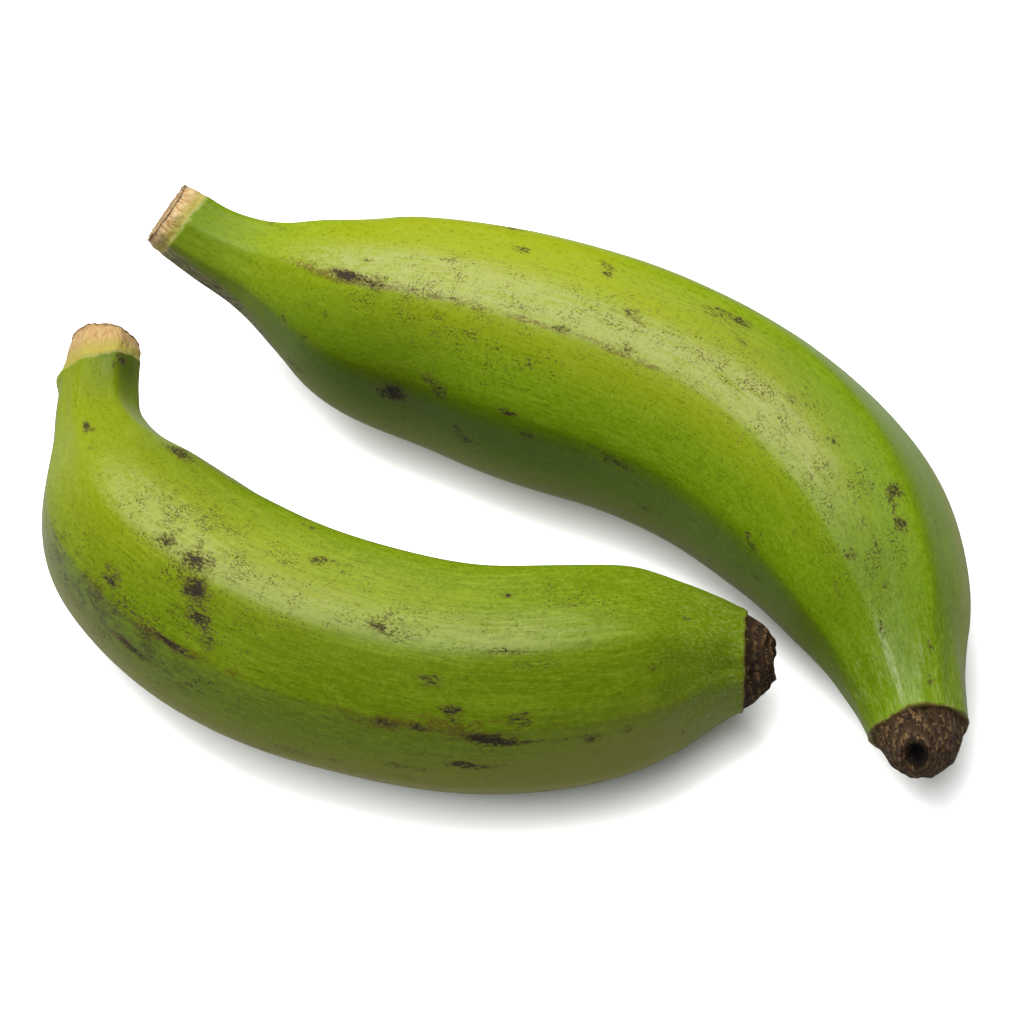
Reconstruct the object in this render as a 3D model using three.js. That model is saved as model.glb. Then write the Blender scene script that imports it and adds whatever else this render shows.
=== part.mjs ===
// Two green plantains of one bunch, cut from their crown and lying side by side on a flat surface.
// Millimetres, +Z up. The origin is on the surface, under the middle of the pair.
//
// Each fruit grew as one piece, so each is one solid. It is turned as a straight fruit first, with
// its cut stem at the bottom and its blossom scar at the top, and then bent along its centreline
// while its round section is pressed into the rounded, ridged section of a plantain.

import * as THREE from "three";

// The centreline from the cut stem to the tip of the blossom scar: x, y, z and the mean radius.
// The last stretch is the scar's dome, which rounds off by itself.
const LONG_LINE = [
  [-77, 55.5, 38.5, 8.5],
  [-67.5, 51, 34, 9.2],
  [-57, 47, 31, 11.5],
  [-44, 41.5, 29, 17.7],
  [-29.5, 34.5, 27.5, 23.7],
  [-9, 27.5, 27.5, 26.6],
  [11, 18.5, 28, 28],
  [31.5, 9, 27.5, 27.5],
  [51.5, -4, 26, 26.3],
  [67.5, -23.5, 24, 23.9],
  [76.5, -45, 22, 18.8],
  [80, -62.5, 20.5, 12.8],
  [82, -77.5, 19.5, 9.7],
  [82, -86.5, 18, 9.2],
];
const SHORT_LINE = [
  [-91.5, 27, 24.5, 8.1],
  [-91.5, 12, 24, 8.5],
  [-89.5, 0, 23.5, 10.3],
  [-80.5, -22, 21.5, 20.6],
  [-65.5, -41, 22.5, 23.6],
  [-46.5, -55, 23, 24.4],
  [-27, -63, 23, 24.2],
  [-8.5, -67, 23, 23.8],
  [10, -65.5, 22, 23.2],
  [26, -61, 20, 20.6],
  [38.5, -59, 19.5, 15.3],
  [48, -59, 19.5, 10.5],
  [54, -59.5, 19.5, 10],
];

// The ridges around the section, in degrees from the horizontal side up over the top.
const LONG_RIDGES = [12, 68, 119, 160, 203, 258, 312];
const SHORT_RIDGES = [5, 60, 114, 151, 188, 245, 305];
const RIDGE_SHARPNESS = 20;
const FLAT_SHARE = 0.92; // how far the round section goes towards the polygon
const WIDEST_FACE = THREE.MathUtils.degToRad(55);

const STEPS_ALONG = 40;
const STEPS_ON_DOME = 5;
const STEPS_AROUND = 36;
const CUT_BEVEL_RADIUS = 0.93; // the cut face's share of the stem's radius
const CUT_BEVEL_LENGTH = 0.05; // in stretches of the centreline

// A smooth closed section: the distance to each face, blended so that its corners are rounded.
function sectionOf(ridges) {
  const corners = ridges.map(THREE.MathUtils.degToRad);
  const faces = corners.map((corner, i) => {
    const last = i === corners.length - 1;
    const next = last ? corners[0] + 2 * Math.PI : corners[i + 1];
    const halfWidth = Math.min((next - corner) / 2, WIDEST_FACE);
    return { middle: (corner + next) / 2, distance: Math.cos(halfWidth) };
  });
  const polygon = (angle) => {
    const sum = faces.reduce((total, { middle, distance }) => {
      const towards = Math.max(0, Math.cos(angle - middle)) / distance;
      return total + towards ** RIDGE_SHARPNESS;
    }, 0);
    return sum ** (-1 / RIDGE_SHARPNESS);
  };
  const angles = Array.from({ length: 360 }, (_, degree) => THREE.MathUtils.degToRad(degree));
  const mean = angles.reduce((total, angle) => total + polygon(angle), 0) / angles.length;
  return (angle) => THREE.MathUtils.lerp(1, polygon(angle) / mean, FLAT_SHARE);
}

const curveThrough = (points) => new THREE.CatmullRomCurve3(points, false, "catmullrom", 0.5);

function plantain(name, line, ridges, skin) {
  const centre = curveThrough(line.map(([x, y, z]) => new THREE.Vector3(x, y, z)));
  const girth = curveThrough(line.map(([, , , radius]) => new THREE.Vector3(radius, 0, 0)));
  const section = sectionOf(ridges);
  const stretches = line.length - 1;
  const scar = (stretches - 1) / stretches;
  const radiusAt = (share) => girth.getPoint(share).x;

  // The straight fruit. A profile point is a radius, and how far along the centreline it is, 0 to 1.
  const profile = [
    new THREE.Vector2(0, 0),
    new THREE.Vector2(CUT_BEVEL_RADIUS * radiusAt(0), 0),
  ];
  const start = CUT_BEVEL_LENGTH / stretches;
  for (let i = 0; i <= STEPS_ALONG; i++) {
    const share = THREE.MathUtils.lerp(start, scar, i / STEPS_ALONG);
    profile.push(new THREE.Vector2(radiusAt(share), share));
  }
  for (let i = 1; i <= STEPS_ON_DOME; i++) {
    const turn = (i / STEPS_ON_DOME) * (Math.PI / 2);
    const share = THREE.MathUtils.lerp(scar, 1, Math.sin(turn));
    const radius = i === STEPS_ON_DOME ? 0 : radiusAt(share) * Math.cos(turn);
    profile.push(new THREE.Vector2(radius, share));
  }
  const geometry = new THREE.LatheGeometry(profile, STEPS_AROUND);

  // Bend it: the fruit's own side and upward directions follow the centreline.
  const vertices = geometry.getAttribute("position");
  const vertex = new THREE.Vector3();
  for (let i = 0; i < vertices.count; i++) {
    vertex.fromBufferAttribute(vertices, i);
    const share = vertex.y;
    const angle = Math.atan2(vertex.x, vertex.z);
    const radius = Math.hypot(vertex.x, vertex.z) * section(angle);
    const along = centre.getTangent(share);
    const side = new THREE.Vector3(0, 0, 1).cross(along).normalize();
    const upward = new THREE.Vector3().crossVectors(along, side);
    centre.getPoint(share, vertex);
    vertex.addScaledVector(side, radius * Math.cos(angle));
    vertex.addScaledVector(upward, radius * Math.sin(angle));
    // Its weight flattens the underside a little where it rests.
    vertex.z = Math.max(0, vertex.z);
    vertices.setXYZ(i, vertex.x, vertex.y, vertex.z);
  }
  geometry.computeVertexNormals();

  const fruit = new THREE.Mesh(geometry, skin);
  fruit.name = name;
  return fruit;
}

const longSkin = new THREE.MeshStandardMaterial({ color: 0x7f9f1c, roughness: 0.42, metalness: 0 });
const shortSkin = new THREE.MeshStandardMaterial({ color: 0x7a9a22, roughness: 0.45, metalness: 0 });

const pair = new THREE.Group();
pair.add(plantain("plantain_long", LONG_LINE, LONG_RIDGES, longSkin));
pair.add(plantain("plantain_short", SHORT_LINE, SHORT_RIDGES, shortSkin));

const box = new THREE.Box3().setFromObject(pair);
const middle = box.getCenter(new THREE.Vector3());
pair.position.set(-middle.x, -middle.y, -box.min.z);

export default pair;
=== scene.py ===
"""Two green plantains of one bunch, lying side by side on a pale floor.

Each fruit is one dense mesh that stands for its CAD node. It follows the same recipe as the CAD
solid: a straight fruit with a ridged section, bent along its centreline. To that it adds the bared
collar and the cut face of the stem, the lip and the rings of the blossom scar, and the marks of the
peel. Shapes are worked out in millimetres and written to the mesh in metres.
"""

import math

import bpy
import numpy as np
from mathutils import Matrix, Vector


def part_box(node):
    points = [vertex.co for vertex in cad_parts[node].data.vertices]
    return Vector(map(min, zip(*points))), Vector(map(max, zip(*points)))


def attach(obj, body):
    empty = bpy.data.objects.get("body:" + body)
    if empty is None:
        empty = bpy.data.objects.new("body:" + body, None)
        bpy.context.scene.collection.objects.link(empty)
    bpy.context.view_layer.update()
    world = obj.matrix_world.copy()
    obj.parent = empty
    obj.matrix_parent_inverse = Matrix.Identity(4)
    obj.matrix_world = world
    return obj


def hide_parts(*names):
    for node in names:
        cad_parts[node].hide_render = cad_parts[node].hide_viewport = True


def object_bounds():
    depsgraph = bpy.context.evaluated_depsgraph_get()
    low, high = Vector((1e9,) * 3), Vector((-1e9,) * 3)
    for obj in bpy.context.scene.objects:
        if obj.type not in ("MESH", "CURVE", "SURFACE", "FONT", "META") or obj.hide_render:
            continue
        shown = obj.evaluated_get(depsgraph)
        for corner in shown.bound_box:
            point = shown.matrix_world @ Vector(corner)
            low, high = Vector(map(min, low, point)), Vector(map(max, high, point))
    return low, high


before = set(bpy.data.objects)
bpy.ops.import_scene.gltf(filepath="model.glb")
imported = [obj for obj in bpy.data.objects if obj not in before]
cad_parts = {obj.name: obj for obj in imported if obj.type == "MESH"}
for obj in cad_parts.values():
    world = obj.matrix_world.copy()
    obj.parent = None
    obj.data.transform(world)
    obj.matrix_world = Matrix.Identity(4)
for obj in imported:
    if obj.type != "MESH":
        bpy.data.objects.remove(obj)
cad_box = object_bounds()

MM = 0.001

# ---------------------------------------------------------------------------------------------
# The two fruits. Along is in mm from the cut stem, around is in degrees from the fruit's
# horizontal side up over its top, and a patch is (along, around, length, width, strength).
#
# line: x, y, z and mean radius, from the cut stem to the tip of the blossom scar.
# ridges: around, and how far the ridge stands out.
# collar: the stem's bared part. Its cut is at cut_at, and slant further along at slant_at. The
#     peel starts at short, and extra further along at longest_at.
# swells: where the peel swells, in mm.
# pit_up, pit_side: where the scar's pit is, in shares of the scar's radius from its middle.
# rubs: where the peel is rubbed brown.
# sunny, shade, olive: where the green is yellower, partly the sun side's own colour and partly
# painted light on the lit top; where it is deeper, which is painted shade; and where it is a
# paler olive, which is painted light bounced up from the floor.
# bloom: the pale waxy bloom, with painted highlight along the lit ridge and painted reflection
# along the rims. It thins sharply past the ridge at bloom_and_highlight_ridge.
# dry, pale_lines_and_highlight: grey dry strips, and pale dry lines, which are partly painted
# highlight on the ridges and the neck.
# marks, specks: dark bruises, and where the specks lie close.

LONG = {
    "name": "plantain_long",
    "slot": "long_skin",
    "seed": 11,
    "line": [
        (-77, 55.5, 38.5, 8.5),
        (-67.5, 51, 34, 9.2),
        (-57, 47, 31, 11.5),
        (-44, 41.5, 29, 17.7),
        (-29.5, 34.5, 27.5, 23.7),
        (-9, 27.5, 27.5, 26.6),
        (11, 18.5, 28, 28),
        (31.5, 9, 27.5, 27.5),
        (51.5, -4, 26, 26.3),
        (67.5, -23.5, 24, 23.9),
        (76.5, -45, 22, 18.8),
        (80, -62.5, 20.5, 12.8),
        (82, -77.5, 19.5, 9.7),
        (82, -86.5, 18, 9.2),
    ],
    "ridges": [(12, 0.3), (68, 0.25), (119, 1.0), (160, 0.45), (203, 0.3), (258, 0.5), (312, 0.5)],
    "collar": {
        "cut_at": -2.4,
        "slant": 1.5,
        "slant_at": 125,
        "short": 1.8,
        "extra": 1.6,
        "longest_at": 80,
    },
    "swells": [],
    "pit_up": 0.45,
    "pit_side": -0.2,
    "rubs": [
        (46, 118, 14, 2.4, 1.0),
        (80, 119, 40, 1.2, 0.9),
        (120, 119, 25, 0.9, 0.7),
        (160, 119, 20, 0.7, 0.3),
        (58, 160, 30, 0.9, 0.4),
        (200, 12, 25, 1.2, 0.7),
        (110, 312, 50, 1.6, 0.8),
    ],
    "sunny_and_painted_light": [(75, 85, 60, 18, 1.1), (125, 127, 60, 7, 0.55), (150, 100, 35, 8, 0.6)],
    "shade": [
        (72, 173, 40, 9, 0.6),
        (62, 147, 24, 8, 0.4),
        (200, 172, 20, 8, 0.35),
        (196, 106, 16, 12, 0.35),
        (148, 86, 22, 9, 0.22),
        (215, 105, 8, 9, 0.3),
        (8, 95, 12, 12, 0.3),
    ],
    "olive_and_painted_floor_light": [(110, 207, 120, 9, 1.0), (195, 10, 40, 7, 0.8)],
    "bloom_and_highlight": [
        (60, 109, 28, 7, 0.9),
        (110, 109, 45, 6.5, 0.9),
        (158, 108, 24, 6.5, 0.8),
        (185, 12, 40, 6, 0.7),
    ],
    "bloom_and_highlight_ridge": 121,
    "dry": [(8, 203, 22, 4.5, 1.0), (24, 206, 16, 3.5, 0.8)],
    "pale_lines_and_highlight": [(215, 115, 12, 0.9, 1.0), (214, 84, 7, 0.5, 0.6), (218, 90, 6, 0.5, 0.5)],
    "marks": [
        (50, 117, 2.6, 1.4, 0.95),
        (52, 118, 6, 2.0, 0.45),
        (46, 117, 3, 1.2, 0.6),
        (57, 119, 4, 1.1, 0.6),
        (66, 169, 2.8, 2.3, 1.0),
        (66, 170, 6.5, 4.5, 0.3),
        (63, 173, 2.2, 1.8, 0.6),
        (79, 160, 2.6, 1.8, 1.0),
        (75, 156, 2.6, 1.6, 0.75),
        (48, 141, 1.6, 1.6, 0.6),
        (42, 191, 4, 1.6, 0.7),
        (37, 159, 3, 1.2, 0.55),
        (13, 200, 4, 1.0, 0.8),
        (86, 82, 3, 1.2, 0.8),
        (81, 68, 3, 1.0, 0.8),
        (71, 97, 2.6, 1.0, 0.75),
        (105, 82, 1.5, 1.1, 0.9),
        (117, 117, 2.2, 1.6, 0.8),
        (102, 118, 2.4, 1.2, 0.8),
        (77, 118, 4, 0.9, 0.7),
        (98, 136, 1.7, 1.5, 0.7),
        (96, 159, 3, 1.1, 0.9),
        (101, 167, 1.8, 1.6, 0.85),
        (86, 184, 2.6, 1.8, 0.85),
        (84, 178, 1.2, 1.2, 0.8),
        (84, 132, 3.2, 2.4, 0.55),
        (113, 98, 2.4, 1.6, 0.7),
        (116, 102, 2.4, 1.0, 0.6),
        (122, 165, 3.4, 2.0, 0.7),
        (127, 166, 3.0, 1.4, 0.6),
        (129, 78, 6, 2.2, 0.62),
        (134, 76, 2.4, 0.9, 0.75),
        (181, 75, 2.4, 2.2, 0.95),
        (188, 79, 2.2, 2.0, 0.85),
        (184, 80, 3.0, 0.8, 0.5),
        (191, 98, 3.4, 1.1, 0.7),
        (191, 115, 1.8, 1.6, 0.75),
        (178, 88, 2.6, 2.0, 0.6),
        (166, 92, 3.2, 2.2, 0.55),
        (153, 94, 1.6, 1.2, 0.7),
        (173, 160, 2.6, 1.0, 0.75),
        (179, 136, 1.5, 1.0, 0.6),
        (197, 133, 3.0, 0.8, 0.6),
        (220, 81, 1.2, 1.0, 0.9),
        # the side that faces away, and the underside
        (70, 20, 4, 1.8, 0.8),
        (112, 350, 5, 2.2, 0.85),
        (150, 35, 3, 2.4, 0.8),
        (95, 285, 5, 2.0, 0.7),
        (165, 300, 4, 2.6, 0.85),
        (188, 10, 3, 1.6, 0.7),
        (135, 240, 5, 1.6, 0.7),
    ],
    "specks": [
        (75, 108, 28, 9, 0.75),
        (120, 102, 30, 10, 0.95),
        (155, 106, 26, 10, 0.9),
        (190, 110, 18, 10, 0.85),
        (185, 85, 20, 8, 0.6),
        (80, 140, 30, 12, 0.85),
        (150, 150, 30, 12, 0.6),
        (55, 120, 22, 5, 0.8),
        (130, 190, 60, 8, 0.4),
        (120, 20, 60, 14, 0.55),
        (110, 300, 70, 16, 0.5),
    ],
}

SHORT = {
    "name": "plantain_short",
    "slot": "short_skin",
    "seed": 23,
    "line": [
        (-91.5, 27, 24.5, 8.1),
        (-91.5, 12, 24, 8.5),
        (-89.5, 0, 23.5, 10.3),
        (-80.5, -22, 21.5, 20.6),
        (-65.5, -41, 22.5, 23.6),
        (-46.5, -55, 23, 24.4),
        (-27, -63, 23, 24.2),
        (-8.5, -67, 23, 23.8),
        (10, -65.5, 22, 23.2),
        (26, -61, 20, 20.6),
        (38.5, -59, 19.5, 15.3),
        (48, -59, 19.5, 10.5),
        (54, -59.5, 19.5, 10),
    ],
    "ridges": [(5, 0.3), (60, 0.2), (114, 0.25), (151, 1.0), (188, 0.6), (245, 0.5), (305, 0.5)],
    "collar": {
        "cut_at": -1.2,
        "slant": 0,
        "slant_at": 0,
        "short": 2.6,
        "extra": 7.6,
        "longest_at": 140,
    },
    "swells": [(10, 172, 2.5, 3, 1.1), (9, 215, 3, 4, 0.8)],
    "pit_up": 0.1,
    "pit_side": 0,
    "rubs": [
        (90, 151, 28, 1.5, 1.0),
        (135, 152, 16, 3.0, 1.0),
        (40, 186, 20, 1.2, 0.8),
        (62, 172, 22, 1.2, 0.6),
        (78, 166, 16, 1.0, 0.8),
        (110, 188, 40, 1.0, 0.7),
        (100, 305, 40, 1.6, 0.8),
    ],
    "sunny_and_painted_light": [(90, 95, 50, 14, 0.9), (30, 120, 35, 18, 0.9), (60, 40, 20, 10, 0.6)],
    "shade": [
        (195, 60, 8, 14, 0.3),
        (60, 62, 28, 9, 0.4),
        (10, 60, 14, 9, 0.55),
        (9, 35, 8, 4, 0.5),
        (110, 130, 50, 8, 0.2),
        (75, 168, 30, 6, 0.25),
    ],
    "olive_and_painted_floor_light": [(120, 200, 70, 11, 1.0), (60, 192, 25, 7, 1.0), (165, 170, 25, 9, 0.5)],
    "bloom_and_highlight": [
        (105, 107, 45, 6.5, 0.6),
        (150, 104, 22, 8, 0.4),
        (66, 100, 22, 7, 0.55),
        (72, 196, 34, 5.5, 1.0),
    ],
    "bloom_and_highlight_ridge": 117,
    "dry": [],
    "pale_lines_and_highlight": [(12, 74, 6, 1.6, 0.5), (104, 114, 16, 1.6, 0.4)],
    "marks": [
        (78, 110, 2.3, 1.8, 1.0),
        (86, 111, 2.4, 1.8, 0.9),
        (84, 111, 4.8, 3.2, 0.35),
        (89, 122, 2.4, 1.9, 0.95),
        (88, 121, 4.0, 3.2, 0.4),
        (92, 134, 2.8, 1.6, 0.85),
        (91, 130, 4.4, 3.6, 0.4),
        (95, 142, 2.2, 2.2, 0.8),
        (73, 140, 2.2, 2.4, 0.75),
        (70, 138, 1.4, 1.6, 0.5),
        (86, 150, 4.0, 0.9, 1.05),
        (91, 151, 3.6, 0.8, 0.95),
        (79, 148, 4.0, 0.7, 0.8),
        (79, 166, 3.8, 1.4, 0.9),
        (84, 167, 4.0, 0.9, 0.7),
        (71, 156, 5.0, 3.0, 0.55),
        (106, 82, 2.2, 1.4, 0.9),
        (100, 64, 5.0, 1.0, 0.6),
        (123, 109, 2.2, 1.4, 0.75),
        (127, 112, 5.0, 2.0, 0.6),
        (128, 152, 2.4, 1.2, 1.0),
        (133, 152, 1.8, 1.2, 0.9),
        (138, 147, 1.8, 2.6, 0.6),
        (137, 142, 1.4, 1.8, 0.55),
        (141, 155, 2.6, 1.1, 1.0),
        (144, 157, 3.2, 1.2, 1.0),
        (150, 158, 8.0, 0.7, 0.6),
        (147, 146, 2.6, 2.4, 0.75),
        (134, 130, 2.6, 1.6, 0.85),
        (146, 80, 1.8, 0.9, 0.9),
        (145, 115, 5.0, 0.8, 0.85),
        (150, 121, 7.0, 1.6, 0.5),
        (170, 129, 1.2, 1.0, 0.9),
        (158, 160, 1.6, 1.1, 0.85),
        (164, 158, 1.6, 1.0, 0.75),
        (141, 172, 4.6, 0.9, 0.85),
        (131, 176, 4.6, 0.8, 0.7),
        (112, 182, 6.0, 0.8, 0.6),
        (57, 64, 8.0, 1.7, 1.1),
        (32, 108, 2.8, 1.0, 1.0),
        (41, 108, 1.0, 0.8, 0.7),
        (9, 50, 2.2, 2.0, 0.95),
        (12, 62, 1.4, 0.7, 0.7),
        (9, 84, 1.8, 0.6, 0.5),
        (109, 79, 3.0, 0.7, 0.6),
        (155, 88, 2.2, 0.8, 0.6),
        # the side that faces away, and the underside
        (90, 20, 5, 2.2, 0.85),
        (120, 350, 4, 2.6, 0.8),
        (70, 330, 4, 2.0, 0.8),
        (140, 30, 5, 1.2, 0.8),
        (105, 270, 6, 2.4, 0.75),
        (150, 300, 4, 2.0, 0.8),
    ],
    "specks": [
        (72, 92, 20, 12, 0.85),
        (90, 104, 26, 12, 0.8),
        (66, 163, 24, 9, 1.3),
        (84, 160, 20, 7, 1.1),
        (92, 128, 12, 9, 0.85),
        (125, 108, 14, 5, 0.7),
        (160, 88, 18, 10, 0.75),
        (120, 90, 40, 12, 0.45),
        (138, 150, 16, 8, 0.7),
        (130, 175, 40, 6, 0.5),
        (56, 148, 14, 8, 0.5),
        (100, 20, 50, 14, 0.6),
        (110, 310, 60, 16, 0.5),
    ],
}

SECTION_SHARPNESS = 20
SECTION_FLAT_SHARE = 0.92
WIDEST_FACE = math.radians(55)

COLUMNS = 240
ZONE_ROWS = {"face": 22, "collar": 18, "body": 296, "scar": 50}
BAKE_ROOM = {"face": 0.07, "collar": 0.06, "body": 0.75, "scar": 0.12}  # shares of the bake's map

PEEL_THICK = 0.2  # how far the bared collar lies under the peel's surface
CUT_RIM = 0.93  # the cut face's share of the stem's radius
SCAR_LIP = 0.7  # how far the green peel stands out round the blossom scar
RAG_RADIUS = 12  # of the ring on which both ragged edges are drawn
PEEL_RAG = 0.35  # how ragged the peel's edge is at the stem
SCAR_RAG = 0.55  # how ragged the edge of the blossom scar is
FACE_DIP = 0.5  # how far the middle of the cut face lies in from its rim
FACE_FIBRES = 0.3
COLLAR_FIBRES = 0.13
RIDGE_HEIGHT = 0.14
RIDGE_WIDTH = 0.9
PIT_DEPTH = 2.4
PIT_RING_HEIGHT = 0.6
# Shares of the scar's radius
PIT_SIZE = 0.2
PIT_RING_SIZE = 0.4
PIT_RING_WIDTH = 0.1

RANDOM_MARKS = 90  # small bruises all over each peel


# ---------------------------------------------------------------------------------------------
# Numbers in arrays


def smooth(value, low, high):
    """0 below low, 1 above high, and smooth between them."""
    x = np.clip((value - low) / (high - low), 0, 1)
    return x * x * (3 - 2 * x)


def turn_between(around, middle):
    """The signed angle in degrees from middle to around, by the shorter way."""
    return (around - middle + 180) % 360 - 180


def lattice_noise(points, size, seed):
    """Smooth noise from -1 to 1 at each point, with bumps about size across."""
    place = points / size
    cell = np.floor(place).astype(np.int64)
    inside = place - cell
    inside = inside * inside * (3 - 2 * inside)
    total = np.zeros(len(points))
    for corner in np.ndindex(2, 2, 2):
        at = cell + corner
        # A hash of each corner's place gives the noise its value there.
        mixed = at[:, 0] * 73856093 ^ at[:, 1] * 19349663 ^ at[:, 2] * 83492791 ^ seed * 2654435
        mixed = (mixed ^ (mixed >> 13)) * 1274126177 & 0x7FFFFFFF
        mixed = (mixed ^ (mixed >> 16)) & 0xFFFF
        share = np.prod(np.where(corner, inside, 1 - inside), axis=1)
        total += share * (mixed / 32767.5 - 1)
    return total


def spline(values, at):
    """A Catmull-Rom curve through the rows of values. Position 0 is the first, 1 the second."""
    values = np.asarray(values, float)
    first = 2 * values[0] - values[1]
    last = 2 * values[-1] - values[-2]
    padded = np.vstack([first, values, last])
    cell = np.clip(np.floor(at).astype(int), 0, len(values) - 2)
    w = (at - cell)[:, None]
    before, start, end, after = (padded[cell + k] for k in range(4))
    leave = (end - before) / 2
    arrive = (after - start) / 2
    cubic = 2 * start - 2 * end + leave + arrive
    square = -3 * start + 3 * end - 2 * leave - arrive
    return ((cubic * w + square) * w + leave) * w + start


def section_at(ridges, around):
    """The ridged section's radius, as a share of its mean, at each angle in degrees."""
    corners = [math.radians(angle) for angle, _ in ridges]
    following = corners[1:] + [corners[0] + 2 * math.pi]

    def polygon(angle):
        total = np.zeros_like(angle)
        for corner, after in zip(corners, following):
            distance = math.cos(min((after - corner) / 2, WIDEST_FACE))
            towards = np.maximum(0, np.cos(angle - (corner + after) / 2)) / distance
            total += towards**SECTION_SHARPNESS
        return total ** (-1 / SECTION_SHARPNESS)

    mean = polygon(np.radians(np.arange(360.0))).mean()
    return polygon(np.radians(around)) / mean


def patches(marks, along, around, radius):
    """The sum of soft patches, each strongest at its middle."""
    total = np.zeros_like(along)
    for middle, angle, length, width, strength in marks:
        across = np.radians(turn_between(around, angle)) * np.maximum(radius, 4)
        square = ((along - middle) / length) ** 2 + (across / width) ** 2
        total += strength * np.exp(-square)
    return total


# ---------------------------------------------------------------------------------------------
# The shape of a fruit


class Centreline:
    """The centreline as a table: where it is, which way it faces and how thick the fruit is."""

    SAMPLES = 1200
    EASE = 18  # samples over which the joins between the stretches are eased
    REACH = 3 * EASE

    def __init__(self, line):
        at = np.linspace(0, len(line) - 1, self.SAMPLES)
        reach = np.arange(-self.REACH, self.REACH + 1)
        weight = np.exp(-((reach / self.EASE) ** 2) / 2)
        weight = weight / weight.sum()
        rows = spline(line, at)
        # Carried straight on past both ends, so that easing doesn't draw the ends in.
        before = rows[0] + np.outer(np.arange(-self.REACH, 0), rows[1] - rows[0])
        after = rows[-1] + np.outer(np.arange(1, self.REACH + 1), rows[-1] - rows[-2])
        padded = np.vstack([before, rows, after])
        rows = np.stack([np.convolve(column, weight, "valid") for column in padded.T], axis=1)
        self.point = rows[:, :3]
        self.girth = rows[:, 3]
        steps = np.linalg.norm(np.diff(self.point, axis=0), axis=1)
        self.along = np.concatenate([[0], np.cumsum(steps)])
        self.length = self.along[-1]
        self.scar = np.interp(len(line) - 2, at, self.along)
        self.tangent = np.gradient(self.point, self.along, axis=0)
        self.tangent /= np.linalg.norm(self.tangent, axis=1)[:, None]

    def look_up(self, table, along):
        return np.stack([np.interp(along, self.along, column) for column in table.T], axis=1)

    def place(self, along, around, radius):
        """The point at that height along the fruit, angle around it and distance out."""
        middle = self.look_up(self.point, along)
        forward = self.look_up(self.tangent, along)
        side = np.cross([0, 0, 1], forward)
        side /= np.linalg.norm(side, axis=1)[:, None]
        upward = np.cross(forward, side)
        angle = np.radians(around)
        outward = side * np.cos(angle)[:, None] + upward * np.sin(angle)[:, None]
        before_cut = np.minimum(along, 0)[:, None]
        return middle + outward * radius[:, None] + forward * before_cut


def fruit_rows():
    """Each ring of the mesh: its zone, and how far it is through that zone, 0 to 1."""
    steps = []
    for zone, count in ZONE_ROWS.items():
        if zone == "face":  # from just off its middle to its rim
            steps.append(np.arange(1, count + 1) / count)
        elif zone == "scar":  # from its rim to just off its tip
            steps.append(np.arange(count) / count)
        else:
            steps.append(np.arange(count) / (count - 1))
    zones = np.repeat(list(ZONE_ROWS), list(ZONE_ROWS.values()))
    return zones, np.concatenate(steps)


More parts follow.
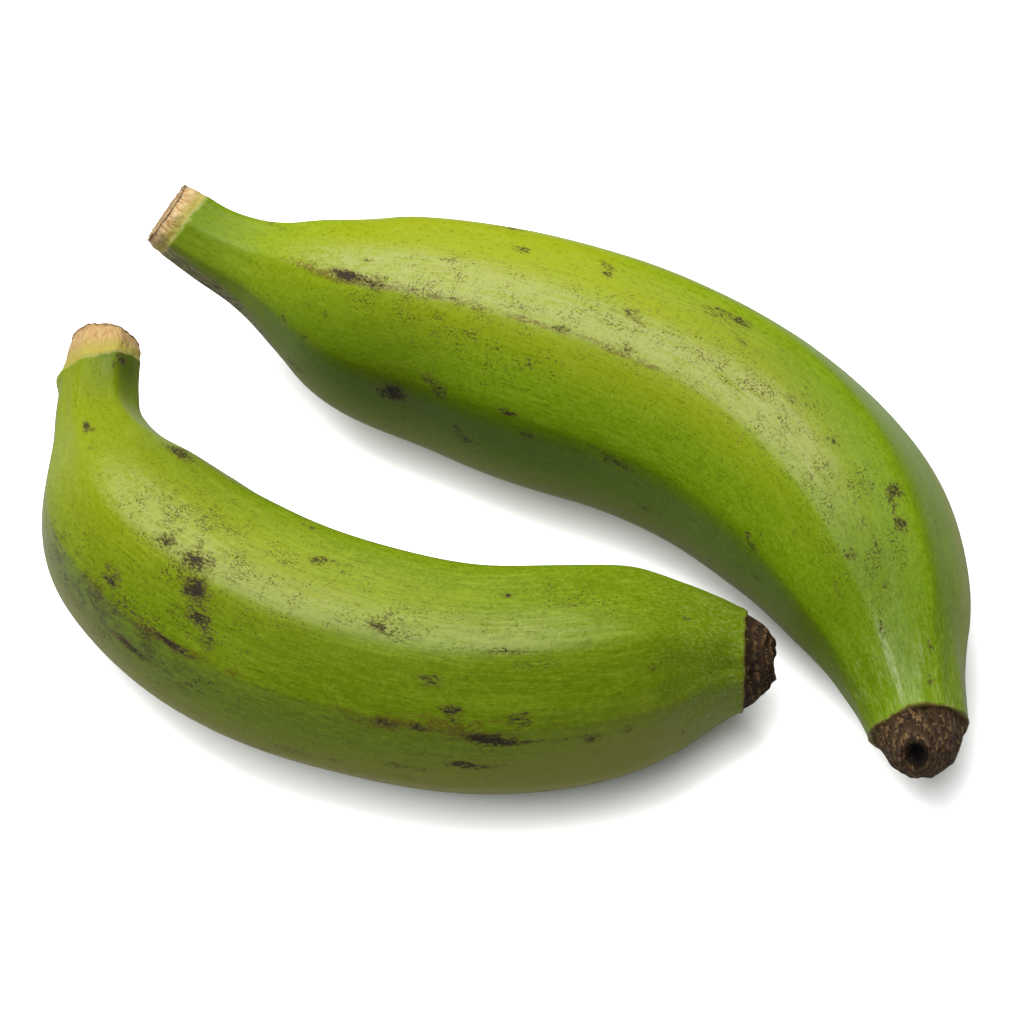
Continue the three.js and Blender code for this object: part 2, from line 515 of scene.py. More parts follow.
def fruit_shape(fruit, centre):
    """Every ring's vertices: a dictionary of flat arrays, ring by ring."""
    zone, step = fruit_rows()
    columns = np.arange(COLUMNS) * 360 / COLUMNS - 90
    zone = np.repeat(zone, COLUMNS)
    step = np.repeat(step, COLUMNS)
    around = np.tile(columns, len(zone) // COLUMNS)
    face, collar, body, scar = (zone == name for name in ZONE_ROWS)
    sideways = np.cos(np.radians(around))
    upwards = np.sin(np.radians(around))
    seed = fruit["seed"]

    # Ragged edges: where the peel starts at the stem, and where the blossom scar starts.
    ring = RAG_RADIUS * np.stack([sideways, upwards, 0 * around], 1)
    rag = lattice_noise(ring, 3.1, seed) + 0.6 * lattice_noise(ring, 1.2, seed + 1)
    edge = fruit["collar"]
    lean = (1 + np.cos(np.radians(turn_between(around, edge["longest_at"])))) / 2
    slanted = np.cos(np.radians(turn_between(around, edge["slant_at"])))
    cut_at = edge["cut_at"] + edge["slant"] * slanted
    peel_start = edge["short"] + edge["extra"] * lean + PEEL_RAG * rag
    wave = lattice_noise(ring, 7, seed + 2) + 0.5 * lattice_noise(ring, 2.2, seed + 3)
    scar_start = centre.scar - 0.3 + SCAR_RAG * wave

    along = np.zeros(len(step))
    along[collar] = (cut_at + step * (peel_start - cut_at))[collar]
    along[body] = (peel_start + step * (scar_start - peel_start))[body]
    depth = centre.length - scar_start
    along[scar] = (scar_start + depth * np.sin(step * math.pi / 2))[scar]

    girth = np.interp(along, centre.along, centre.girth)
    section = section_at(fruit["ridges"], around)
    near_scar = smooth(along, centre.scar - 26, centre.scar - 2)
    near_cut = 1 - smooth(along, 0, 25)
    flat = SECTION_FLAT_SHARE * (1 - 0.6 * near_scar) * (1 - 0.1 * near_cut)
    radius = girth * (1 + flat * (section - 1))

    # Without relief and overhang, as the CAD solid is.
    out = np.cos(step * math.pi / 2)
    plain = {"along": np.maximum(along, 0), "around": around, "radius": radius.copy()}
    plain["radius"][scar] *= out[scar]

    # The cut face dips a little and its fibres stand up; the collar lies under the peel.
    straight = np.stack([along, radius * sideways, radius * upwards], 1)
    radius[face] *= (CUT_RIM * step)[face]
    straight[face, 1:] *= (CUT_RIM * step)[face, None]
    fibre = lattice_noise(straight, 0.8, seed + 4) + 0.6 * lattice_noise(straight, 2.4, seed + 5)
    cut_middle = cut_at[:COLUMNS].mean()
    cut_plane = cut_middle + (cut_at - cut_middle) * step
    dip = FACE_DIP * (1 - step**2)
    along[face] = (cut_plane + dip - FACE_FIBRES * fibre * smooth(step, 0, 0.3))[face]

    # The peel: gentle lumps, long flutes that deepen towards both ends, and raised ridge lines.
    long_way = straight * [0.12, 1, 1]
    lumps = lattice_noise(straight * [0.5, 1, 1], 15, seed + 6)
    flutes = lattice_noise(long_way, 3.0, seed + 7)
    fine_flutes = lattice_noise(long_way, 1.3, seed + 8)
    ends = np.maximum(1 - smooth(along, 5, 45), smooth(along, centre.scar - 35, centre.scar))
    swell = 0.42 * lumps + (0.05 + 0.3 * ends) * flutes + (0.02 + 0.06 * ends) * fine_flutes
    ridge = np.zeros(len(step))
    for angle, strength in fruit["ridges"]:
        across = np.radians(turn_between(around, angle)) * np.maximum(radius, 1)
        ridge += strength * np.exp(-((across / RIDGE_WIDTH) ** 2))
    middle_part = smooth(along, 12, 30) * (1 - smooth(along, centre.scar - 25, centre.scar - 6))
    lip = np.exp(-(((along - scar_start) / 0.5) ** 2))
    swell += patches(fruit["swells"], along, around, radius)
    radius[body] += (swell + RIDGE_HEIGHT * ridge * middle_part + 0.15 * lip)[body]

    # The bared collar is bevelled to the cut, and lies a little under the peel.
    bevel = smooth(step, 0, 0.45)
    bared = (CUT_RIM + (1 - CUT_RIM) * bevel) * radius - PEEL_THICK + COLLAR_FIBRES * fibre
    to_peel = smooth(step, 0.9, 1.0)
    radius[collar] = (bared + (radius - bared) * to_peel + swell * step)[collar]

    # The blossom scar: a lip, a dome with growth rings, and a pit inside a raised ring.
    dome = np.stack([out * radius * sideways, out * radius * upwards, 0 * out], 1)
    rough = lattice_noise(dome, 2.6, seed + 9) + 0.6 * lattice_noise(dome, 1.1, seed + 10)
    rings = np.sin(out * 34 + 3.0 * lattice_noise(dome, 4, seed + 11))
    lip_drop = smooth(step, 0, 0.05)
    radius[scar] = ((radius - SCAR_LIP * lip_drop) * out + 0.35 * rough * out)[scar]
    from_pit = np.hypot(out * sideways - fruit["pit_side"], out * upwards - fruit["pit_up"])
    pit = np.exp(-((from_pit / PIT_SIZE) ** 2))
    raised = np.exp(-(((from_pit - PIT_RING_SIZE) / PIT_RING_WIDTH) ** 2))
    relief = 0.13 * rings * smooth(out, 0.1, 0.4) + PIT_RING_HEIGHT * raised
    relief = relief - PIT_DEPTH * pit + 0.35 * rough
    along[scar] += (relief * lip_drop - 0.5 * lip_drop * smooth(out, 0.8, 1))[scar]

    return {
        "plain": plain,
        "zone": zone,
        "step": step,
        "along": along,
        "around": around,
        "radius": radius,
        "straight": straight,
        "from_pit": np.where(scar, from_pit, 1),
        "peel_start": peel_start,
        "scar_start": scar_start,
    }


def fruit_places(centre, shape):
    """Where the vertices lie, past the centreline's ends too, with the underside pressed flat."""
    past_tip = np.maximum(shape["along"] - centre.length, 0)
    along = np.minimum(shape["along"], centre.length)
    places = centre.place(along, shape["around"], shape["radius"])
    places += past_tip[:, None] * centre.tangent[-1]
    places[:, 2] = np.maximum(places[:, 2], 0)
    return places


# ---------------------------------------------------------------------------------------------
# The peel's own pattern, kept on the vertices for the material


def fruit_pattern(fruit, centre, shape):
    """Named values for each vertex, from 0 to about 1."""
    along, around, radius = shape["along"], shape["around"], shape["radius"]
    zone, step = shape["zone"], shape["step"]
    random = np.random.default_rng(fruit["seed"])
    body_marks = [
        (
            random.uniform(15, centre.scar - 8),
            random.uniform(0, 360),
            random.uniform(0.7, 2.6),
            random.uniform(0.5, 1.1),
            random.uniform(0.35, 0.8),
        )
        for _ in range(RANDOM_MARKS)
    ]
    face, collar, green, scar = (zone == name for name in ZONE_ROWS)
    past_ridge = turn_between(around, fruit["bloom_and_highlight_ridge"])
    past_ridge = smooth(np.radians(past_ridge) * radius, -0.8, 0.8) * (past_ridge < 45)
    pattern = {
        "sunny_and_painted_light": patches(fruit["sunny_and_painted_light"], along, around, radius),
        "olive_and_painted_floor_light": patches(fruit["olive_and_painted_floor_light"], along, around, radius),
        "shade": patches(fruit["shade"], along, around, radius),
        "bloom_and_highlight": patches(fruit["bloom_and_highlight"], along, around, radius) * (1 - 0.75 * past_ridge),
        "bruise": patches(fruit["marks"] + body_marks, along, around, radius),
        "specks": 0.12 + patches(fruit["specks"], along, around, radius),
        "dry": patches(fruit["dry"], along, around, radius),
        "pale": patches(fruit["pale_lines_and_highlight"], along, around, radius),
        "rub": patches(fruit["rubs"], along, around, radius),
        "flesh": np.where(face, 1, collar * (1 - smooth(step, 0.92, 0.98))),
        "face": face * step,
        "peel_edge": np.exp(-(((along - shape["peel_start"] + 0.1) / 0.2) ** 2)) * ~face,
        "cut_edge": np.where(face, smooth(step, 0.78, 1), collar * (1 - smooth(step, 0, 0.12))),
        "collar_depth": collar * step,
        "scar": scar * smooth(step, 0.0, 0.03),
        "from_pit": shape["from_pit"],
        "scar_edge": np.exp(-(((along - shape["scar_start"] - 0.1) / 0.3) ** 2)) * (green | scar),
        "tip": smooth(along, centre.scar - 30, centre.scar) * green,
        "neck": (1 - smooth(along, 8, 45)) * green,
    }
    return pattern


# ---------------------------------------------------------------------------------------------
# The mesh


def grid_faces(rings):
    """Quads between the rings, and a fan at each end. The last two vertices are the end points."""
    ring = np.arange(rings - 1)[:, None] * COLUMNS
    column = np.arange(COLUMNS)[None, :]
    after = (column + 1) % COLUMNS
    above = ring + COLUMNS
    quads = np.stack([ring + column, ring + after, above + after, above + column], -1)
    start, end = rings * COLUMNS, rings * COLUMNS + 1
    last = (rings - 1) * COLUMNS
    low_fan = [(start, int(after[0, k]), k) for k in range(COLUMNS)]
    high_fan = [(end, last + k, last + int(after[0, k])) for k in range(COLUMNS)]
    return quads.reshape(-1, 4).tolist(), low_fan, high_fan


def bake_rows(zone):
    """How far across the bake's map each ring lies, with room for the two small ends."""
    weight = np.array([BAKE_ROOM[name] / ZONE_ROWS[name] for name in zone])
    return np.cumsum(weight) - weight / 2


def build_fruit(fruit):
    """The fruit's mesh object, in place over its CAD node."""
    centre = Centreline(fruit["line"])
    shape = fruit_shape(fruit, centre)
    places = fruit_places(centre, shape)
    rings = len(places) // COLUMNS
    first, last = slice(0, COLUMNS), slice(len(places) - COLUMNS, None)
    ends = np.array([places[first].mean(axis=0), places[last].mean(axis=0)])
    places = np.vstack([places, ends])

    # The plain shape, without its relief, lies exactly over the CAD solid.
    low, high = (np.array(corner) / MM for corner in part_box(fruit["name"]))
    plain = fruit_places(centre, shape["plain"])
    shift = (low + high - plain.min(axis=0) - plain.max(axis=0)) / 2
    shift[2] = low[2] - plain[:, 2].min()
    places = (places + shift) * MM

    quads, low_fan, high_fan = grid_faces(rings)
    mesh = bpy.data.meshes.new(fruit["name"] + "_peel")
    mesh.from_pydata(places.tolist(), [], quads + low_fan + high_fan)
    mesh.shade_smooth()

    def with_ends(values):
        return np.concatenate([values, [values[first].mean(axis=0)], [values[last].mean(axis=0)]])

    for name, values in fruit_pattern(fruit, centre, shape).items():
        layer = mesh.attributes.new(name, "FLOAT", "POINT")
        layer.data.foreach_set("value", with_ends(values).astype(np.float32))
    layer = mesh.attributes.new("straight", "FLOAT_VECTOR", "POINT")
    layer.data.foreach_set("vector", with_ends(shape["straight"]).astype(np.float32).ravel())

    # The bake's map: along the fruit one way and around it the other.
    rows = bake_rows(shape["zone"][::COLUMNS])
    corner_vertex = np.zeros(len(mesh.loops), dtype=np.int64)
    mesh.loops.foreach_get("vertex_index", corner_vertex)
    is_end = corner_vertex >= rings * COLUMNS
    u = rows[np.minimum(corner_vertex // COLUMNS, rings - 1)]
    u = np.where(corner_vertex == rings * COLUMNS, 0.0, np.where(is_end, 1.0, u))
    v = (corner_vertex % COLUMNS) / COLUMNS
    starts = np.zeros(len(mesh.polygons), dtype=np.int64)
    sizes = np.zeros(len(mesh.polygons), dtype=np.int64)
    mesh.polygons.foreach_get("loop_start", starts)
    mesh.polygons.foreach_get("loop_total", sizes)
    face_of_corner = np.repeat(np.arange(len(starts)), sizes)
    v_on_rings = np.where(is_end, 0.5, v)
    widest = np.maximum.reduceat(v_on_rings, starts)[face_of_corner]
    wraps = (widest > 0.9) & (v < 0.1) & ~is_end
    v = v + wraps
    v_ring = np.where(is_end, np.nan, v)
    mean = np.nanmean(v_ring[starts[:, None] + np.arange(3)], axis=1)[face_of_corner]
    v = np.where(is_end, mean, v)
    layer = mesh.uv_layers.new(name="OFBake")
    layer.data.foreach_set("uv", np.stack([u, v], axis=1).astype(np.float32).ravel())

    piece = bpy.data.objects.new(fruit["name"] + "_peel", mesh)
    bpy.context.scene.collection.objects.link(piece)
    return piece


# ---------------------------------------------------------------------------------------------
# Materials


class Nodes:
    """A short way to write a material's nodes."""

    def __init__(self, material):
        self.tree = material.node_tree
        self.tree.nodes.clear()

    def add(self, kind, **settings):
        node = self.tree.nodes.new("ShaderNode" + kind)
        for key, value in settings.items():
            setattr(node, key, value)
        return node

    def put(self, socket, value):
        if isinstance(value, bpy.types.NodeSocket):
            self.tree.links.new(value, socket)
        elif isinstance(value, tuple) and len(value) == 3 and socket.type == "RGBA":
            socket.default_value = (*value, 1)
        else:
            socket.default_value = value

    def value(self, name):
        return self.add("Attribute", attribute_name=name).outputs["Fac"]

    def vector(self, name):
        return self.add("Attribute", attribute_name=name).outputs["Vector"]

    def maths(self, operation, first, second=0.0, clamp=False):
        node = self.add("Math", operation=operation, use_clamp=clamp)
        self.put(node.inputs[0], first)
        self.put(node.inputs[1], second)
        return node.outputs[0]

    def plus(self, first, second):
        return self.maths("ADD", first, second)

    def times(self, first, second):
        return self.maths("MULTIPLY", first, second)

    def swing(self, noise, strength):
        """Noise from 0 to 1 turned into a swing about 0."""
        return self.times(self.maths("SUBTRACT", noise, 0.5), strength)

    def ramp(self, value, low, high):
        """0 at low, 1 at high, smooth between. High may be the lower number."""
        node = self.add("MapRange", interpolation_type="SMOOTHSTEP")
        for name, given in (("Value", value), ("From Min", low), ("From Max", high)):
            self.put(node.inputs[name], given)
        return node.outputs[0]

    def stretch(self, vector, scale):
        node = self.add("Mapping", vector_type="POINT")
        self.put(node.inputs["Vector"], vector)
        node.inputs["Scale"].default_value = scale
        return node.outputs[0]

    def noise(self, vector, scale, detail=3.0, roughness=0.55, distortion=0.0):
        node = self.add("TexNoise")
        self.put(node.inputs["Vector"], vector)
        node.inputs["Scale"].default_value = scale
        node.inputs["Detail"].default_value = detail
        node.inputs["Roughness"].default_value = roughness
        node.inputs["Distortion"].default_value = distortion
        return node.outputs[0]

    def mix(self, share, first, second):
        """A mix of colours. A Mix node's colour sockets are the ones at these places."""
        node = self.add("Mix", data_type="RGBA")
        self.put(node.inputs[0], share)
        self.put(node.inputs[6], first)
        self.put(node.inputs[7], second)
        return node.outputs[2]

    def blend(self, share, first, second):
        node = self.add("Mix", data_type="FLOAT")
        self.put(node.inputs[0], share)
        self.put(node.inputs[2], first)
        self.put(node.inputs[3], second)
        return node.outputs[0]


PEEL_IOR = 1.45
PEEL_SPECULAR = 0.16

# Colours that both fruits share
# The bloom's pale colour, also painted highlight and painted reflection.
BLOOM_AND_HIGHLIGHT = (0.32, 0.335, 0.12)
TIP_STREAK = (0.25, 0.32, 0.12)
# Pale dry lines, partly painted highlight.
PALE_LINE_AND_HIGHLIGHT = (0.36, 0.4, 0.2)
RUBBED_BROWN = (0.11, 0.06, 0.009)
DRY_DARK = (0.06, 0.05, 0.02)
DRY_LIGHT = (0.3, 0.29, 0.13)
SPECK = (0.045, 0.03, 0.004)
STAIN = (0.085, 0.06, 0.012)
BRUISE_DARK = (0.012, 0.008, 0.009)
BRUISE_LIGHT = (0.035, 0.018, 0.012)
STRAND = (0.13, 0.065, 0.03)
CUT_BROWN = (0.1, 0.05, 0.024)
PEEL_THREAD = (0.42, 0.34, 0.15)
PIT_BLACK = (0.012, 0.009, 0.008)
SCAR_EDGE = (0.15, 0.085, 0.03)


def plantain_material(name, look):
    """Waxy green peel, bared stem flesh and dry blossom scar, by the values on the vertices."""
    material = bpy.data.materials.new(name)
    material.use_nodes = True
    nodes = Nodes(material)
    place = nodes.vector("straight")
    streak_place = nodes.stretch(place, (0.1, 1, 1))

    # Green: deeper and yellower areas, long fine streaks and a close mottle. The yellower areas are
    # partly painted light on the lit top; the olive is painted floor light, the shade painted
    # shade.
    cloud = nodes.noise(nodes.stretch(place, (0.35, 1, 1)), 0.07, 4)
    streaks = nodes.noise(streak_place, 2.0, 5, 0.65)
    broad_streaks = nodes.noise(streak_place, 0.45, 3)
    mottle = nodes.noise(place, 1.1, 5, 0.7)
    # Yellower on the sun side and where light on the lit top is painted in.
    sunny_and_painted_light = nodes.plus(nodes.value("sunny_and_painted_light"), nodes.swing(cloud, 0.6))
    green = nodes.mix(nodes.ramp(sunny_and_painted_light, 0.0, 1.0), look["deep"], look["yellow"])
    lighter = nodes.plus(nodes.times(streaks, 0.5), nodes.times(mottle, 0.5))
    lighter = nodes.ramp(lighter, 0.47, 0.66)
    green = nodes.mix(nodes.times(lighter, 0.5), green, look["light"])
    green = nodes.mix(nodes.times(nodes.ramp(broad_streaks, 0.5, 0.75), 0.3), green, look["light"])
    darker = nodes.plus(nodes.times(streaks, 0.45), nodes.times(mottle, 0.55))
    darker = nodes.ramp(darker, 0.49, 0.32)
    green = nodes.mix(nodes.times(darker, 0.62), green, look["dark"])
    # Olive: painted light bounced up from the floor onto the lower faces.
    green = nodes.mix(nodes.ramp(nodes.value("olive_and_painted_floor_light"), 0.0, 1.0), green, look["olive_and_painted_floor_light"])
    # Painted shade: darker where the faces lie in shade.
    green = nodes.mix(nodes.value("shade"), green, look["dark"])
    flecks = nodes.ramp(nodes.noise(place, 2.6, 2), 0.66, 0.74)
    green = nodes.mix(nodes.times(flecks, 0.25), green, look["light"])

    # The pale waxy bloom, with painted highlight and painted reflection, rubbed thin here and
    # there, and pale dry lines, partly painted highlight.
    thin = nodes.times(nodes.noise(streak_place, 0.9, 5, 0.7), 0.7)
    thin = nodes.plus(thin, nodes.times(mottle, 0.5))
    bloom_and_highlight = nodes.times(nodes.ramp(nodes.value("bloom_and_highlight"), 0.1, 0.95), nodes.ramp(thin, 0.38, 0.72))
    green = nodes.mix(nodes.times(bloom_and_highlight, look["bloom_and_highlight"]), green, BLOOM_AND_HIGHLIGHT)
    tip = nodes.times(nodes.value("tip"), nodes.ramp(streaks, 0.48, 0.66))
    green = nodes.mix(nodes.times(tip, 0.35), green, TIP_STREAK)
    # Pale dry lines, partly painted highlight on the ridges and the neck.
    pale = nodes.times(nodes.ramp(nodes.value("pale"), 0.25, 0.8), nodes.ramp(streaks, 0.3, 0.6))
    green = nodes.mix(nodes.times(pale, 0.42), green, PALE_LINE_AND_HIGHLIGHT)

    # Rubbed ridges, dry strips, specks and bruises.
    rubbed = nodes.value("rub")
    wear = nodes.swing(nodes.noise(nodes.stretch(place, (0.3, 1, 1)), 0.5, 5, 0.7), 3.4)
    rub = nodes.plus(rubbed, nodes.times(wear, nodes.ramp(rubbed, 0, 0.3)))
    worn_through = nodes.ramp(nodes.noise(place, 1.2, 5, 0.75), 0.4, 0.54)
    rub = nodes.times(nodes.ramp(rub, 0.5, 1.05), worn_through)
    green = nodes.mix(nodes.times(rub, 0.72), green, RUBBED_BROWN)
    dry = nodes.plus(nodes.value("dry"), nodes.swing(streaks, 1.6))
    threads = nodes.ramp(nodes.noise(streak_place, 2.6, 3), 0.36, 0.64)
    dry_colour = nodes.mix(threads, DRY_DARK, DRY_LIGHT)
    green = nodes.mix(nodes.ramp(dry, 0.3, 0.75), green, dry_colour)
    density = nodes.value("specks")
    grit = nodes.noise(nodes.stretch(place, (0.75, 1, 1)), 2.4, 3, 0.6)
    grit = nodes.plus(nodes.swing(grit, 6.5), nodes.times(density, 0.8))
    field = nodes.ramp(nodes.noise(place, 0.22, 5, 0.7), 0.42, 0.62)
    field = nodes.times(field, nodes.ramp(density, 0.02, 0.4))
    dots = nodes.times(nodes.ramp(grit, 1.12, 1.55), field)
    green = nodes.mix(nodes.times(dots, 0.78), green, SPECK)
    grain = nodes.noise(nodes.stretch(place, (0.55, 1, 1)), 1.7, 6, 0.75, 0.3)
    sore = nodes.value("bruise")
    bruise = nodes.plus(nodes.times(sore, 1.05), nodes.swing(grain, 4.2))
    stain = nodes.times(nodes.ramp(bruise, 0.2, 0.9), nodes.ramp(sore, 0.05, 0.6))
    green = nodes.mix(nodes.times(stain, 0.55), green, STAIN)
    dark = nodes.times(nodes.ramp(bruise, 0.68, 1.25), nodes.ramp(sore, 0.06, 0.35))
    bruise_colour = nodes.mix(grain, BRUISE_DARK, BRUISE_LIGHT)
    green = nodes.mix(nodes.times(dark, 0.94), green, bruise_colour)

    # The stem's bared flesh: tan and fibrous, green-yellow by the peel, brown along the cut.
    fibres = nodes.noise(nodes.stretch(place, (0.35, 1, 1)), 1.6, 5, 0.7)
    flesh = nodes.mix(nodes.ramp(fibres, 0.35, 0.68), look["flesh_dark"], look["flesh_light"])
    by_peel = nodes.ramp(nodes.value("collar_depth"), 0.3, 0.85)
    flesh = nodes.mix(nodes.times(by_peel, 0.75), flesh, look["flesh_green"])
    strands = nodes.ramp(nodes.noise(place, 1.9, 4, 0.7), 0.45, 0.62)
    in_face = nodes.ramp(nodes.value("face"), 0.0, 0.2)
    flesh = nodes.mix(nodes.times(nodes.times(strands, in_face), 0.8), flesh, STRAND)
    broken = nodes.ramp(nodes.noise(place, 1.3, 4, 0.7), 0.36, 0.6)
    rim = nodes.times(nodes.value("cut_edge"), broken)
    flesh = nodes.mix(nodes.times(rim, 0.8), flesh, CUT_BROWN)
    is_flesh = nodes.value("flesh")
    colour = nodes.mix(is_flesh, green, flesh)
    broken = nodes.ramp(nodes.noise(place, 0.8, 2), 0.3, 0.5)
    thread = nodes.times(nodes.value("peel_edge"), broken)
    colour = nodes.mix(nodes.times(thread, 0.6), colour, PEEL_THREAD)

    # The blossom scar: rings of brown bark round a black pit, with a brown ragged edge. The rings
    # are darker in their crevices, which is painted shade, and gold on their crests, partly painted
    # highlight.
    bark = nodes.noise(place, 1.2, 6, 0.75, 0.6)
    from_pit = nodes.value("from_pit")
    waves = nodes.maths("SINE", nodes.plus(nodes.times(from_pit, 60), nodes.times(bark, 22)))
    scar = nodes.mix(nodes.ramp(bark, 0.34, 0.66), look["bark_dark"], look["bark_light"])
    # Painted shade: darker in the crevices between the rings, where the relief dips.
    scar = nodes.mix(nodes.times(nodes.ramp(waves, 0.1, 0.8), 0.7), scar, look["bark_dark"])
    # Gold on the rings' crests: partly the bark's own colour, partly painted highlight.
    gold = nodes.times(nodes.ramp(waves, -0.5, -0.95), nodes.ramp(bark, 0.44, 0.62))
    scar = nodes.mix(nodes.times(gold, 0.7), scar, look["bark_gold"])
    blotches = nodes.ramp(nodes.noise(place, 0.32, 3), 0.52, 0.66)
    scar = nodes.mix(nodes.times(blotches, 0.7), scar, look["bark_dark"])
    pit = nodes.ramp(nodes.plus(from_pit, nodes.times(bark, 0.4)), 0.6, 0.36)
    scar = nodes.mix(pit, scar, PIT_BLACK)
    is_scar = nodes.value("scar")
    colour = nodes.mix(is_scar, colour, scar)
    broken = nodes.ramp(nodes.noise(place, 1.0, 3), 0.3, 0.5)
    edge = nodes.times(nodes.value("scar_edge"), broken)
    colour = nodes.mix(nodes.times(edge, 0.85), colour, SCAR_EDGE)

    # How rough each part is, and its finest relief.
    roughness = nodes.blend(mottle, look["roughness"] - 0.05, look["roughness"] + 0.09)
    roughness = nodes.blend(dark, roughness, 0.62)
    roughness = nodes.blend(nodes.times(bloom_and_highlight, 0.7), roughness, 0.65)
    roughness = nodes.blend(nodes.times(nodes.value("neck"), 0.5), roughness, 0.6)
    roughness = nodes.blend(is_flesh, roughness, 0.42)
    roughness = nodes.blend(is_scar, roughness, nodes.blend(bark, 0.55, 0.85))
    peel_height = nodes.plus(nodes.times(streaks, 0.05), nodes.times(mottle, 0.035))
    peel_height = nodes.plus(peel_height, nodes.times(dots, -0.02))
    peel_height = nodes.plus(peel_height, nodes.times(dark, -0.06))
    peel_height = nodes.plus(peel_height, nodes.times(nodes.noise(place, 3.2, 2), 0.012))
    height = nodes.blend(is_flesh, peel_height, nodes.times(fibres, 0.3))
    bark_height = nodes.plus(nodes.times(bark, 0.9), nodes.times(waves, -0.16))
    height = nodes.blend(is_scar, height, bark_height)
    bump = nodes.add("Bump")
    bump.inputs["Distance"].default_value = MM
    bump.inputs["Strength"].default_value = 1.0
    nodes.put(bump.inputs["Height"], height)

    shader = nodes.add("BsdfPrincipled")
    nodes.put(shader.inputs["Base Color"], colour)
    nodes.put(shader.inputs["Roughness"], roughness)
    nodes.put(shader.inputs["Normal"], bump.outputs[0])
    shader.inputs["IOR"].default_value = PEEL_IOR
    shader.inputs["Specular IOR Level"].default_value = PEEL_SPECULAR
    output = nodes.add("OutputMaterial")
    nodes.put(output.inputs["Surface"], shader.outputs[0])
    return material


LONG_LOOK = {
    "deep": (0.128, 0.222, 0.001),
    "yellow": (0.23, 0.272, 0.003),
    "light": (0.25, 0.33, 0.02),
    "dark": (0.055, 0.085, 0.001),
    "olive_and_painted_floor_light": (0.23, 0.235, 0.045),
    "bloom_and_highlight": 0.75,
    "flesh_dark": (0.36, 0.2, 0.07),
    "flesh_light": (0.6, 0.46, 0.24),
    "flesh_green": (0.33, 0.3, 0.035),
    "bark_dark": (0.035, 0.021, 0.012),
    "bark_light": (0.25, 0.15, 0.07),
    "bark_gold": (0.52, 0.33, 0.13),
    "roughness": 0.35,
}
SHORT_LOOK = {
    **LONG_LOOK,
    "deep": (0.118, 0.182, 0.001),
    "yellow": (0.19, 0.236, 0.002),
    "olive_and_painted_floor_light": (0.2, 0.2, 0.03),
    "bloom_and_highlight": 0.6,
    "flesh_dark": (0.38, 0.21, 0.08),
    "flesh_light": (0.5, 0.36, 0.16),
    "bark_dark": (0.022, 0.014, 0.01),
    "bark_light": (0.17, 0.085, 0.035),
}


# ---------------------------------------------------------------------------------------------
# Floor, light and camera

FLOOR_SIZE = 6.0
FLOOR_GAP = 0.1 * MM
AIM = Vector((2.8, 14.4, 0)) * MM
ELEVATION = math.radians(48)
DISTANCE = 640 * MM
LENS_MM = 100
SENSOR_MM = 36

FLOOR_SEEN = 0.9
FLOOR_BOUNCED = 0.28
LIGHT_DISTANCE = 0.9
LIGHT_SIZE = 0.8
LIGHT_POWER = 15.0
SKY_SEEN = 1.0
SKY_REFLECTED = 0.1
SKY_LIGHT = 0.25


def build_floor():
    """A pale floor. It sends less light back up than it shows, as a dull table would."""
    mesh = bpy.data.meshes.new("floor")
    half = FLOOR_SIZE / 2
    level = cad_box[0][2] - FLOOR_GAP
    corners = [(x * half, y * half, level) for x, y in ((-1, -1), (1, -1), (1, 1), (-1, 1))]
    mesh.from_pydata(corners, [], [(0, 1, 2, 3)])
    floor = bpy.data.objects.new("floor", mesh)
    bpy.context.scene.collection.objects.link(floor)
    material = bpy.data.materials.new("pale_floor")
    material.use_nodes = True
    nodes = Nodes(material)
    seen = nodes.add("BsdfDiffuse")
    seen.inputs["Color"].default_value = (FLOOR_SEEN, FLOOR_SEEN, FLOOR_SEEN, 1)
    bounced = nodes.add("BsdfDiffuse")
    bounced.inputs["Color"].default_value = (FLOOR_BOUNCED, FLOOR_BOUNCED, FLOOR_BOUNCED, 1)
    both = nodes.add("MixShader")
    nodes.put(both.inputs[0], nodes.add("LightPath").outputs["Is Camera Ray"])
    nodes.put(both.inputs[1], bounced.outputs[0])
    nodes.put(both.inputs[2], seen.outputs[0])
    nodes.put(nodes.add("OutputMaterial").inputs["Surface"], both.outputs[0])
    mesh.materials.append(material)
    return floor


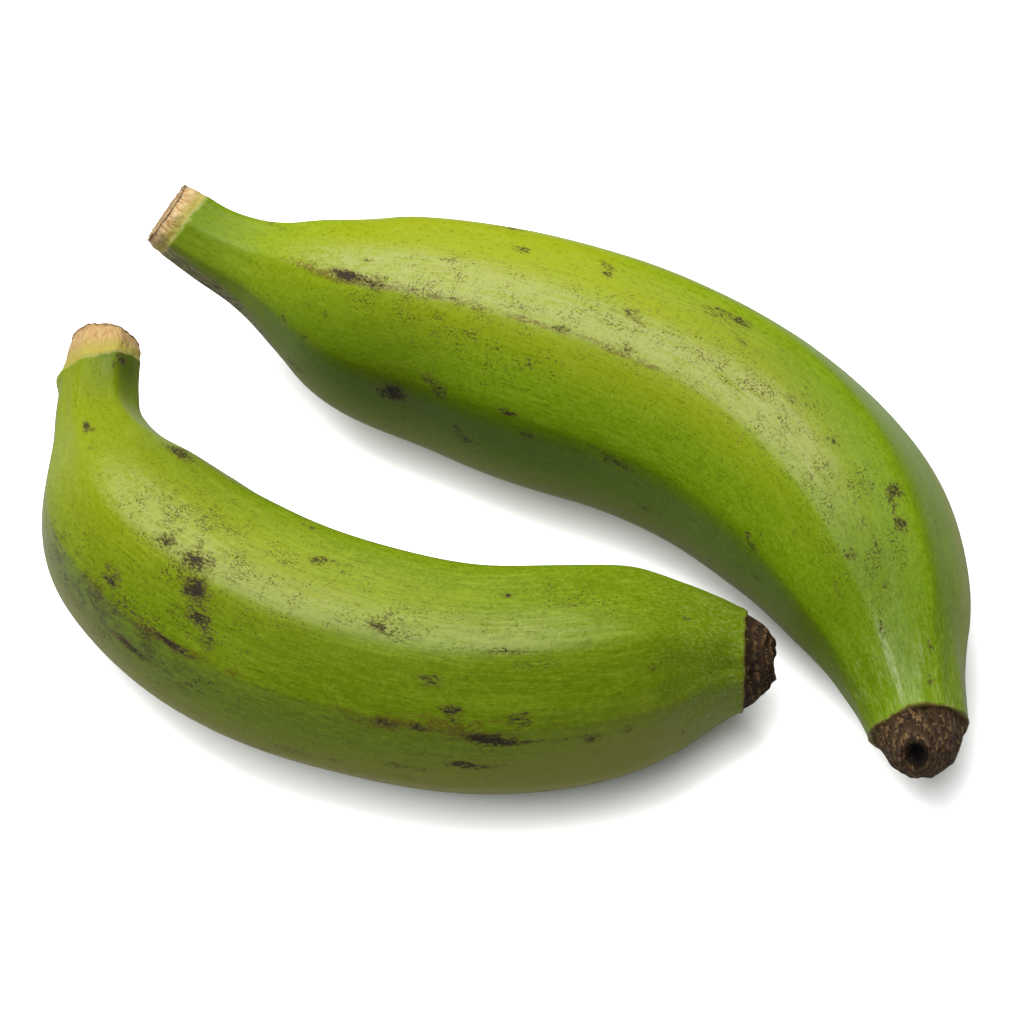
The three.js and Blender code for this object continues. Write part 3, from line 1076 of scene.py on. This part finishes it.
def build_light(name, direction, only_for=None):
    """A square soft light that faces the object. It can be kept for one thing only."""
    light = bpy.data.lights.new(name, "AREA")
    light.shape = "SQUARE"
    light.size = LIGHT_SIZE
    light.energy = LIGHT_POWER
    lamp = bpy.data.objects.new(name, light)
    towards = Vector(direction).normalized()
    lamp.location = towards * LIGHT_DISTANCE
    lamp.rotation_euler = towards.to_track_quat("Z", "Y").to_euler()
    bpy.context.scene.collection.objects.link(lamp)
    if only_for:
        lit = bpy.data.collections.new(name + "_lights")
        lit.objects.link(only_for)
        lamp.light_linking.receiver_collection = lit


def build_world():
    """A white backdrop to the camera, and a dim even sky to everything else."""
    world = bpy.data.worlds.new("studio")
    world.use_nodes = True
    nodes = Nodes(world)
    path = nodes.add("LightPath")
    background = nodes.add("Background")
    background.inputs["Color"].default_value = (1, 1, 1, 1)
    strength = nodes.blend(path.outputs["Is Camera Ray"], SKY_REFLECTED, SKY_SEEN)
    strength = nodes.blend(path.outputs["Is Diffuse Ray"], strength, SKY_LIGHT)
    nodes.put(background.inputs["Strength"], strength)
    nodes.put(nodes.add("OutputWorld").inputs["Surface"], background.outputs[0])
    bpy.context.scene.world = world


def build_camera():
    """The camera, straight in front of the pair and above it."""
    camera = bpy.data.cameras.new("camera")
    camera.lens = LENS_MM
    camera.sensor_width = SENSOR_MM
    holder = bpy.data.objects.new("camera", camera)
    back = Vector((0, -math.cos(ELEVATION), math.sin(ELEVATION)))
    holder.location = AIM + back * DISTANCE
    holder.rotation_euler = back.to_track_quat("Z", "Y").to_euler()
    bpy.context.scene.collection.objects.link(holder)
    bpy.context.scene.camera = holder


# ---------------------------------------------------------------------------------------------

bpy.context.scene.view_settings.view_transform = "Standard"
build_camera()
build_world()
floor = build_floor()
build_light("key", (-0.22, 0.2, 0.95))
build_light("floor_wash", (-0.25, -0.35, 0.9), only_for=floor)

for fruit, look in ((LONG, LONG_LOOK), (SHORT, SHORT_LOOK)):
    piece = build_fruit(fruit)
    piece.data.materials.append(plantain_material(fruit["slot"], look))
    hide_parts(fruit["name"])
    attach(piece, "root")
